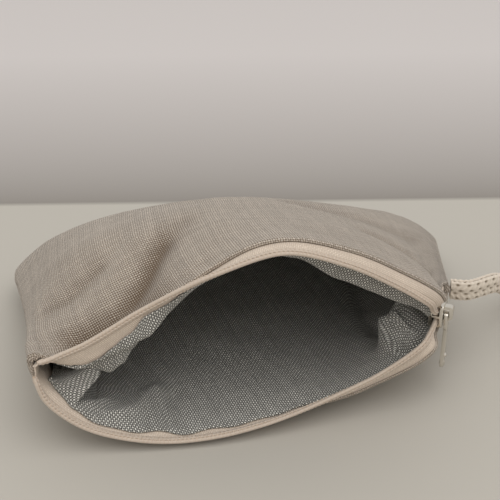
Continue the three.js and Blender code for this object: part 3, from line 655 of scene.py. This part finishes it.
def lining_panel(side, name):
    i = np.arange(LINING_COLUMNS + 1)[:, None]
    j = np.arange(LINING_ROWS + 1)[None, :]
    even = i / LINING_COLUMNS
    row = (j / LINING_ROWS)**1.7 + 0 * i
    # The lining leaves the left seam near the mouth and cuts the corner short
    start = SHORT_CORNER * ease(-row, -0.4, -0.12)
    share = mix(start, 1, mix(even, 0.5 - 0.5 * np.cos(math.pi * even), 0.4))
    scallop = SCALLOP_HEIGHT * np.sin(2 * math.pi * share * SCALLOPS + side)
    scallop = scallop * ease(np.minimum(share, 1 - share), 0, 0.1)
    edge = stop_values(LINING_EDGE[side], share) + scallop
    distance = mix(edge, tape_showing(side, share) + panel_length(side, share), row)
    point, normal = from_zip(side, share, distance)
    u = (share - 0.5) * LINING_WIDTH
    v = distance - edge
    free = ease(np.minimum(share - start, 1 - share), 0, 0.03) * ease(1 - row, 0, 0.1)
    lift = LINING_RIPPLE * (1 + ripple(u, v, 11 + side, 22)) * free * ease(v, 0, 8)
    if side == BACK:
        lift = lift + sum(bump(u, v, *fold) for fold in BACK_FOLDS) * free * ease(v, 0, 4)
        # A fold may sink to the tape's face, not into it
        lift = np.maximum(lift, DEEPEST_FOLD)
        # A gusset folds inwards at the left corner
        ridge = GUSSET_FOLD + GUSSET_SLOPE * v
        corner = ease(-u, ridge, ridge + 1.8) * ease(v, 0, 2.5) * ease(-v, -30, -14)
        lift = lift + GUSSET_HEIGHT * corner * free
    # The two linings meet along the seams
    shut = np.maximum(ease(row, 0.97, 1), ease(-np.minimum(share - start, 1 - share), -0.012, 0))
    face = LINING_FACE + (SEAM_HALF + LINING_LAP - LINING_FACE) * shut
    point = point - normal * (face + lift)[..., None]
    if side == FRONT:
        hang = stop_values(FRONT_SAG, share) * ease(v, 0, 7) * ease(-v, -26, -8)
        point = point + SAG_WAY * hang[..., None]
    else:
        point[..., 0] += GUSSET_SHIFT * corner * free
    behind, over = hem_rows(LINING_FACE, LINING_HEM)
    hem, normal = from_zip(side, share[:, :1] + 0 * behind, edge[:, :1] + behind)
    point = np.concatenate([hem - normal * over[:, None], point], axis=1)
    bm = cloth_grid(point - REST, flip=side == FRONT, openness_and_shade=LINING_OPEN)
    return piece(name, bm, "pouch", [name.replace("_cloth", "_panel")], thicken=LINING_THICKNESS)


lining_front = lining_panel(FRONT, "lining_front_cloth")
lining_back = lining_panel(BACK, "lining_back_cloth")

# %% [markdown]
# ## Zip tapes
# A tape is a narrow woven ribbon. Its bare part shows between the coil and the fold of the linen,
# and the rest is sewn in between the layers. A bevelled curve would have no weave along it, so it
# is a grid a few rows wide. Its ends are drawn to the other tape, where the seams hold both.

# %% Zip tapes
TAPE_COLUMNS = 260
TAPE_ROWS = np.array([0.1, 0.6, 1.2, 1.8, 2.5, 3.2, 4, 5, 6.2, 7.6, 9.4])
TAPE_THICKNESS = 0.4
CORNER_WIDER = 0.9


def zip_tape(side, name):
    share = np.linspace(0.004, 0.996, TAPE_COLUMNS + 1)[:, None] + 0 * TAPE_ROWS[None, :]
    # The back tape lies wide open in the left corner
    wider = CORNER_WIDER * (side == BACK)
    distance = TAPE_ROWS[None, :] * (1 + wider * ease(-share, -0.1, -0.03))
    point, normal = from_zip(side, share, distance)
    # The tapes are sewn together at both ends of the zip, and their edges meet behind the slider
    middle = (point + from_zip(-side, share, distance)[0]) / 2
    from_seam = (1 - share) * ZIP_LENGTH[side]
    sewn = np.maximum(ease(-share, -0.018, -0.006), ease(-from_seam, -3, -0.8))
    met = ease(-from_seam, -TAIL, 1 - TAIL) * ease(-distance, -2, -0.5)
    point = mix(point, middle, np.maximum(sewn, met)[..., None])
    bm = cloth_grid(point + normal * TAPE_THICKNESS / 2 - REST, flip=side == BACK)
    return piece(name, bm, "pouch", [name.replace("ribbon", "tape")], thicken=TAPE_THICKNESS)


tape_front = zip_tape(FRONT, "zip_ribbon_front")
tape_back = zip_tape(BACK, "zip_ribbon_back")

# %% [markdown]
# ## Coils and their thread
# Each half of the zip is one nylon filament wound into a flat coil round two cords, a turn every
# 1.15 mm. A row of stitches on each face holds it to the tape's edge and draws it in at the middle,
# so it shows as two rails. Array modifiers could repeat one turn, but a curve with a round bevel
# gives the real winding. It is turned to a mesh, because the poses bend only meshes.

# %% Filaments
def filaments(name, paths, radius, nodes=()):
    """Round filaments along paths in millimetres, as one mesh."""
    curve = bpy.data.curves.new(name, "CURVE")
    curve.dimensions = "3D"
    curve.bevel_depth = radius * MM
    curve.bevel_resolution = 1
    curve.use_fill_caps = True
    for path in paths:
        spline = curve.splines.new("POLY")
        spline.points.add(len(path) - 1)
        for point, place in zip(spline.points, path):
            point.co = (*(place - REST) * MM, 1)
    holder = bpy.data.objects.new(name, curve)
    scene.collection.objects.link(holder)
    shaped = holder.evaluated_get(bpy.context.evaluated_depsgraph_get())
    mesh = bpy.data.meshes.new_from_object(shaped)
    bpy.data.objects.remove(holder)
    bm = bmesh.new()
    bm.from_mesh(mesh)
    return piece(name, bm, "pouch", nodes)


# %% Coils
COIL_WIDTH = 1.9
COIL_THICKNESS = 1.5
COIL_PITCH = 1.15
COIL_MIDDLE = 0.36
FILAMENT = 0.46
CORE = 0.56
THREAD = 0.25
COIL_START = 0.014
SLIDER_EASE = 0.1
COIL_GAP = 0.1
CORD_PLACE = 0.8


def coil_points(side, turns_at, width, height):
    """Places on the coil: width runs from the tape to the mouth, height from inside to outside."""
    share = COIL_START + turns_at * COIL_PITCH / ZIP_LENGTH[side]
    direction = tape_direction(side, share)
    normal = unit(np.cross(along(LIPS[side], share)[1], direction) * side)
    edge = lip_point(side, share, -COIL_GAP - width * COIL_WIDTH)
    return edge + normal * (height * COIL_THICKNESS / 2)[..., None]


def zip_coil(side, name):
    plain = name.replace("_winding", "")
    turns = int((ZIP_LENGTH[side] * (1 - COIL_START) - TAIL - 0.3) / COIL_PITCH)
    t = np.linspace(0, turns, turns * 10 + 1)
    reach = (1 - COIL_MIDDLE) - (FILAMENT + SLIDER_EASE) / COIL_WIDTH
    lift = 1 - 2 * FILAMENT / COIL_THICKNESS
    turn = 2 * math.pi * t
    # The sewing thread draws each turn in at its middle, so the coil shows two rails
    waist = 1 - 0.5 * np.exp(-(np.cos(turn) / 0.4)**2)
    winding = coil_points(side, t, COIL_MIDDLE + reach * np.cos(turn), lift * np.sin(turn) * waist)
    coil = filaments(name, [winding], FILAMENT, [plain])
    t = np.linspace(0.2, turns - 0.2, turns * 6 + 1)
    sway = 0.06 * np.sin(2 * math.pi * t + 1.5)
    height = 0.72 + 0.12 * np.cos(2 * math.pi * t)
    rows = [coil_points(side, t, COIL_MIDDLE + sway, face * height) for face in (1, -1)]
    thread = filaments(plain.replace("coil", "thread"), rows, THREAD)
    cords = [coil_points(side, t, COIL_MIDDLE + way * reach * CORD_PLACE + 0 * t, 0 * t)
             for way in (1, -1)]
    core = filaments(plain.replace("coil", "core"), cords, CORE)
    return coil, thread, core


coil_front, thread_front, core_front = zip_coil(FRONT, "zip_coil_front_winding")
coil_back, thread_back, core_back = zip_coil(BACK, "zip_coil_back_winding")

# %% [markdown]
# ## Slider and pull
# The slider is die-cast zinc with a nickel plate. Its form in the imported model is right, but cast
# edges are never sharp, so a copy of each solid is merged and its edges are bevelled.

# %% Slider and pull
CAST_ROUNDING = 0.16


def cast_copy(node, name, body):
    source = bpy.data.objects[node]
    bm = bmesh.new()
    bm.from_mesh(source.data)
    bmesh.ops.remove_doubles(bm, verts=bm.verts, dist=1e-6)
    bmesh.ops.dissolve_limit(bm, angle_limit=math.radians(1), verts=bm.verts, edges=bm.edges)
    return piece(name, bm, body, [node], rounding=CAST_ROUNDING)


slider = cast_copy("slider_body", "slider_casting", "slider")
pull = cast_copy("pull_tab", "pull_casting", "pull")

# %% [markdown]
# ## Materials
# One function turns an sRGB hex value to the linear colour that shaders read, and one adds a node.
# Woven finishes read the thread lengths kept at each vertex, so a thread stays a thread
# wherever the cloth bends.

# %% Material helpers
def linear(code):
    """The linear colour of an sRGB hex value."""
    channels = [int(code[k:k + 2], 16) / 255 for k in (1, 3, 5)]
    return [c / 12.92 if c <= 0.04045 else ((c + 0.055) / 1.055)**2.4 for c in channels] + [1]


def add(tree, kind, inputs=(), **settings):
    """Adds a node; inputs holds a value or another node's output for each socket."""
    new = tree.nodes.new(kind)
    for key, value in settings.items():
        setattr(new, key, value)
    for key, value in dict(inputs).items():
        if isinstance(value, bpy.types.NodeSocket):
            tree.links.new(value, new.inputs[key])
        else:
            new.inputs[key].default_value = value
    return new


def material(name, roughness, **sockets):
    """An empty material with its shader's fixed values; returns it with its tree and shader."""
    made = bpy.data.materials.new(name)
    made.use_nodes = True
    shader = made.node_tree.nodes["Principled BSDF"]
    shader.inputs["Roughness"].default_value = roughness
    for key, value in sockets.items():
        shader.inputs[key.replace("_", " ").title().replace("Ior", "IOR")].default_value = value
    return made, made.node_tree, shader


def dress(made, *objects):
    for obj in objects:
        obj.data.materials.append(made)
    print(made.name, "on", len(objects), "pieces")


# %% Plain weave
WANDERS_PER_MM = 0.35
SLUBS_PER_MM = 0.22
FUZZ_PER_MM = 6


def plain_weave(tree, pitch, turn=0):
    """Nodes of a plain weave: which thread is on top, its height, and a number for each thread."""
    cloth = add(tree, "ShaderNodeAttribute", attribute_name="cloth_mm")
    wander = add(tree, "ShaderNodeTexNoise",
                 {"Vector": cloth.outputs["Vector"], "Scale": WANDERS_PER_MM, "Detail": 3})
    drift = add(tree, "ShaderNodeVectorMath", {0: wander.outputs["Color"], 1: (pitch, pitch, 0)},
                operation="MULTIPLY")
    moved = add(tree, "ShaderNodeVectorMath", {0: cloth.outputs["Vector"], 1: drift.outputs[0]},
                operation="ADD")
    grid = add(tree, "ShaderNodeMapping",
               {"Vector": moved.outputs[0], "Rotation": (0, 0, math.radians(turn)),
                "Scale": (1 / pitch, 1 / pitch, 0)})
    axes = add(tree, "ShaderNodeSeparateXYZ", {0: grid.outputs[0]})
    number, crown = [], []
    for axis in (0, 1):
        whole = add(tree, "ShaderNodeMath", {0: axes.outputs[axis]}, operation="FLOOR")
        part = add(tree, "ShaderNodeMath", {0: axes.outputs[axis]}, operation="FRACT")
        turned = add(tree, "ShaderNodeMath", {0: part.outputs[0], 1: math.pi}, operation="MULTIPLY")
        arch = add(tree, "ShaderNodeMath", {0: turned.outputs[0]}, operation="SINE")
        number.append(whole.outputs[0])
        crown.append(arch.outputs[0])
    both = add(tree, "ShaderNodeMath", {0: number[0], 1: number[1]}, operation="ADD")
    odd = add(tree, "ShaderNodeMath", {0: both.outputs[0], 1: 2}, operation="FLOORED_MODULO")
    warp_up = odd.outputs[0]
    heights = []
    for over, under in (crown, crown[::-1]):
        bend = add(tree, "ShaderNodeMath", {0: under, 1: 0.6, 2: 0.4}, operation="MULTIPLY_ADD")
        bowed = add(tree, "ShaderNodeMath", {0: over, 1: bend.outputs[0]}, operation="MULTIPLY")
        heights.append(bowed.outputs[0])
    height = add(tree, "ShaderNodeMix", {0: warp_up, 2: heights[1], 3: heights[0]}).outputs[0]
    top_number = add(tree, "ShaderNodeMix", {0: warp_up, 2: number[1], 3: number[0]}).outputs[0]
    kind = add(tree, "ShaderNodeMath", {0: warp_up, 1: 1000, 2: top_number}, operation="MULTIPLY_ADD")
    luck = add(tree, "ShaderNodeTexWhiteNoise", {"W": kind.outputs[0]}, noise_dimensions="1D")
    return cloth.outputs["Vector"], warp_up, height, luck.outputs["Value"]


def woven(tree, shader, weave, colours, gap, relief, uneven):
    """Colours and bumps of a woven cloth: warp and weft colours, the dark between the threads."""
    place, warp_up, height, luck = weave
    threads = add(tree, "ShaderNodeMix", {0: warp_up, 6: linear(colours[0]), 7: linear(colours[1])},
                  data_type="RGBA")
    tone = add(tree, "ShaderNodeMapRange", {0: luck, 3: 1 - uneven, 4: 1 + uneven})
    slub = add(tree, "ShaderNodeTexNoise",
               {"Vector": place, "Scale": SLUBS_PER_MM, "Detail": 5, "Roughness": 0.65})
    patch = add(tree, "ShaderNodeMapRange", {0: slub.outputs["Fac"], 1: 0.3, 2: 0.7, 3: 0.9, 4: 1.1})
    both = add(tree, "ShaderNodeMath", {0: tone.outputs[0], 1: patch.outputs[0]}, operation="MULTIPLY")
    toned = add(tree, "ShaderNodeMix", {0: 1, 6: threads.outputs[2], 7: both.outputs[0]},
                data_type="RGBA", blend_type="MULTIPLY")
    # The third number kept at each vertex draws more of the dark between the threads: on the lining it is
    # the weave's own openness, on the linen painted shade in the creases and at the collar's foot
    openness_and_shade = add(tree, "ShaderNodeSeparateXYZ", {0: place}).outputs["Z"]
    parted_and_shaded = add(tree, "ShaderNodeMath", {0: openness_and_shade, 1: -0.5, 2: height}, operation="MULTIPLY_ADD")
    dark_share = add(tree, "ShaderNodeMapRange", {0: parted_and_shaded.outputs[0], 1: 0.15, 2: 0.6})
    shaded = add(tree, "ShaderNodeMix", {0: dark_share.outputs[0], 6: linear(gap), 7: toned.outputs[2]},
                 data_type="RGBA")
    tree.links.new(shaded.outputs[2], shader.inputs["Base Color"])
    fuzz = add(tree, "ShaderNodeTexNoise", {"Vector": place, "Scale": FUZZ_PER_MM, "Detail": 2})
    rough = add(tree, "ShaderNodeMath", {0: fuzz.outputs["Fac"], 1: 0.25, 2: height},
                operation="MULTIPLY_ADD")
    raised = add(tree, "ShaderNodeBump",
                 {"Height": rough.outputs[0], "Distance": relief * MM, "Strength": 1})
    tree.links.new(raised.outputs[0], shader.inputs["Normal"])


# %% [markdown]
# Linen is a plain weave of uneven flax threads. The eye gets dark dots between pale threads, and
# bars where a thread is thick. Its real pitch of about 0.55 mm is close to a pixel here, so it is
# drawn a little coarser, at 0.66 mm, to show. In the creases and at the collar's foot more of the
# brown between the threads is drawn, as painted shade.

# %% Linen
LINEN_PITCH = 0.66
linen, tree, shader = material("greige linen, plain weave", 0.95, specular_ior_level=0.2, sheen_weight=0.25,
                               sheen_roughness=0.6)
woven(tree, shader, plain_weave(tree, LINEN_PITCH), ("#C4B9AD", "#B8AC9E"), "#64513D",
      relief=0.16, uneven=0.16)
dress(linen, outer_front, outer_back)

# %% [markdown]
# The lining is an open plain weave of grey and off-white yarn at 0.62 mm, which reads as rows of
# pale dots on a dark ground. It was cut a little off the grain.

# %% Lining cloth
LINING_PITCH, OFF_GRAIN = 0.62, -13
lining, tree, shader = material("two-tone cotton lining, plain weave", 0.95, specular_ior_level=0.2,
                                sheen_weight=0.2, sheen_roughness=0.6)
woven(tree, shader, plain_weave(tree, LINING_PITCH, OFF_GRAIN), ("#A5A29A", "#EFECE4"), "#2E2D2B",
      relief=0.2, uneven=0.14)
dress(lining, lining_front, lining_back)

# %% [markdown]
# The tape is a tight polyester ribbon with fine ribs, and the thread is polyester too. The coil is
# nylon, which is harder and a little glossy.

# %% Zip finishes
RIBBON_PITCH = 0.5
TWISTS_PER_MM = 1.8
CLOUDS_PER_MM = 0.26
tape, tree, shader = material("cream polyester ribbon", 0.8, specular_ior_level=0.3, sheen_weight=0.2)
woven(tree, shader, plain_weave(tree, RIBBON_PITCH), ("#DED0C1", "#D8C9B9"), "#BAA795",
      relief=0.06, uneven=0.05)
dress(tape, tape_front, tape_back)
thread, tree, shader = material("cream polyester sewing thread", 0.65, specular_ior_level=0.4,
                                sheen_weight=0.3)
here = add(tree, "ShaderNodeTexCoord").outputs["Object"]
twist = add(tree, "ShaderNodeTexNoise", {"Vector": here, "Scale": TWISTS_PER_MM / MM, "Detail": 2})
tint = add(tree, "ShaderNodeMix", {0: twist.outputs["Fac"], 6: linear("#BDAB99"), 7: linear("#D5C7B9")},
           data_type="RGBA")
tree.links.new(tint.outputs[2], shader.inputs["Base Color"])
dress(thread, thread_front, thread_back, core_front, core_back)
nylon, tree, shader = material("cream nylon filament", 0.35, IOR=1.53)
here = add(tree, "ShaderNodeTexCoord").outputs["Object"]
cloud = add(tree, "ShaderNodeTexNoise", {"Vector": here, "Scale": CLOUDS_PER_MM / MM, "Detail": 3})
tint = add(tree, "ShaderNodeMix", {0: cloud.outputs["Fac"], 6: linear("#BBA692"), 7: linear("#CBB8A6")},
           data_type="RGBA")
tree.links.new(tint.outputs[2], shader.inputs["Base Color"])
dress(nylon, coil_front, coil_back)

# %% [markdown]
# Nickel plate is a warm grey metal. Handling leaves it with fine scratches and slightly duller
# patches, which the roughness shows.

# %% Nickel
SCRATCHES_PER_MM = 0.7
nickel, tree, shader = material("nickel plate on cast zinc", 0.2, metallic=1)
shader.inputs["Base Color"].default_value = linear("#DDD8CF")
here = add(tree, "ShaderNodeTexCoord").outputs["Object"]
wear = add(tree, "ShaderNodeTexNoise", {"Vector": here, "Scale": SCRATCHES_PER_MM / MM, "Detail": 4})
dull = add(tree, "ShaderNodeMapRange", {0: wear.outputs["Fac"], 1: 0.3, 2: 0.7, 3: 0.12, 4: 0.26})
tree.links.new(dull.outputs[0], shader.inputs["Roughness"])
grain = add(tree, "ShaderNodeBump", {"Height": wear.outputs["Fac"], "Distance": 0.02 * MM, "Strength": 0.4})
tree.links.new(grain.outputs[0], shader.inputs["Normal"])
dress(nickel, slider, pull)

# %% [markdown]
# The braid is soft cotton yarn. Its fibres catch light at the edges, and the hollows between its
# stitches are in shadow, so the shape itself gives most of the pattern. The hollows are also
# drawn darker, as painted shade.

# %% Cotton braid
FIBRES_PER_MM = 3
cotton, tree, shader = material("cream cotton braid", 0.95, specular_ior_level=0.2, sheen_weight=0.3)
cloth = add(tree, "ShaderNodeAttribute", attribute_name="cloth_mm")
fibre = add(tree, "ShaderNodeTexNoise",
            {"Vector": cloth.outputs["Vector"], "Scale": FIBRES_PER_MM, "Detail": 4})
tint = add(tree, "ShaderNodeMix", {0: fibre.outputs["Fac"], 6: linear("#D2C3B1"), 7: linear("#EBE1D4")},
           data_type="RGBA")
# Painted shade: the braid is drawn darker, towards #75654F, in its holes and in the grooves between its
# strands
openness_and_shade = add(tree, "ShaderNodeSeparateXYZ", {0: cloth.outputs["Vector"]}).outputs["Z"]
braid_with_shade = add(tree, "ShaderNodeMix", {0: openness_and_shade, 6: tint.outputs[2], 7: linear("#75654F")}, data_type="RGBA")
tree.links.new(braid_with_shade.outputs[2], shader.inputs["Base Color"])
fuzz = add(tree, "ShaderNodeBump", {"Height": fibre.outputs["Fac"], "Distance": 0.1 * MM, "Strength": 0.6})
tree.links.new(fuzz.outputs[0], shader.inputs["Normal"])
dress(cotton, strap)

# %% [markdown]
# ## Table and light
# The table is plain and pale, and a wall stands behind it. One large plane with two tones gives
# both without a wall that would hide the pouch from behind; the wall's tone is painted darker at its
# foot and paler upwards, as painted shade. A broad lamp from above and the world around give the
# soft daylight of a room.

# %% Table
WALL_LINE = 0.073
WALL_TURN = 7
WALL_FOOT = 0.003
WALL_FADE = 0.17
floor_bm = bmesh.new()
bmesh.ops.create_grid(floor_bm, x_segments=1, y_segments=1, size=3)
floor_mesh = bpy.data.meshes.new("table")
floor_bm.to_mesh(floor_mesh)
floor_bm.free()
floor = bpy.data.objects.new("table", floor_mesh)
scene.collection.objects.link(floor)
table, tree, shader = material("pale table", 0.5, specular_ior_level=0.3)
here = add(tree, "ShaderNodeTexCoord").outputs["Object"]
turned = add(tree, "ShaderNodeMapping", {"Vector": here, "Rotation": (0, 0, math.radians(WALL_TURN))})
axes = add(tree, "ShaderNodeSeparateXYZ", {0: turned.outputs[0]})
# Painted shade: the wall drawn on the plane is darkest at its foot and pales upwards over WALL_FADE
rise = add(tree, "ShaderNodeMapRange", {0: axes.outputs[1], 1: WALL_LINE, 2: WALL_LINE + WALL_FADE})
paling = add(tree, "ShaderNodeMath", {0: rise.outputs[0], 1: 0.6}, operation="POWER")
wall_tone = add(tree, "ShaderNodeMix", {0: paling.outputs[0], 6: linear("#88827B"), 7: linear("#D3CDCB")},
                data_type="RGBA")
wall = add(tree, "ShaderNodeMapRange", {0: axes.outputs[1], 1: WALL_LINE, 2: WALL_LINE + WALL_FOOT})
tone = add(tree, "ShaderNodeMix", {0: wall.outputs[0], 6: linear("#BEB9B0"), 7: wall_tone.outputs[2]},
           data_type="RGBA")
tree.links.new(tone.outputs[2], shader.inputs["Base Color"])
dress(table, floor)

# %% Light
def lamp(name, place, target, size, power):
    data = bpy.data.lights.new(name, "AREA")
    data.size = size
    data.energy = power
    obj = bpy.data.objects.new(name, data)
    obj.location = place
    aim = np.array(target) - np.array(place)
    tilt = math.acos(-aim[2] / np.linalg.norm(aim))
    obj.rotation_euler = (tilt, 0, math.atan2(aim[0], -aim[1]) + math.pi)
    scene.collection.objects.link(obj)
    print(name, power, "W")


lamp("window", (0.02, -0.45, 1.05), (0, 0, 0.02), 1.2, 5.9)
world = bpy.data.worlds.new("room")
world.use_nodes = True
world.node_tree.nodes["Background"].inputs["Color"].default_value = linear("#F4F2EE")
world.node_tree.nodes["Background"].inputs["Strength"].default_value = 0.75
scene.world = world
scene.view_settings.view_transform = "Standard"

# %% [markdown]
# ## The soft pieces
# As the slider of the real pouch passes, the lips come together and the pouch goes flat. The cloth
# can't follow the slider's joint as a rigid piece, so every soft piece but the strap is listed here
# and given a mesh of its own.

# %% Soft pieces
SOFT = [outer_front, outer_back, lining_front, lining_back, tape_front, tape_back,
        coil_front, coil_back, thread_front, thread_back, core_front, core_back]
for obj in SOFT:
    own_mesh(obj)
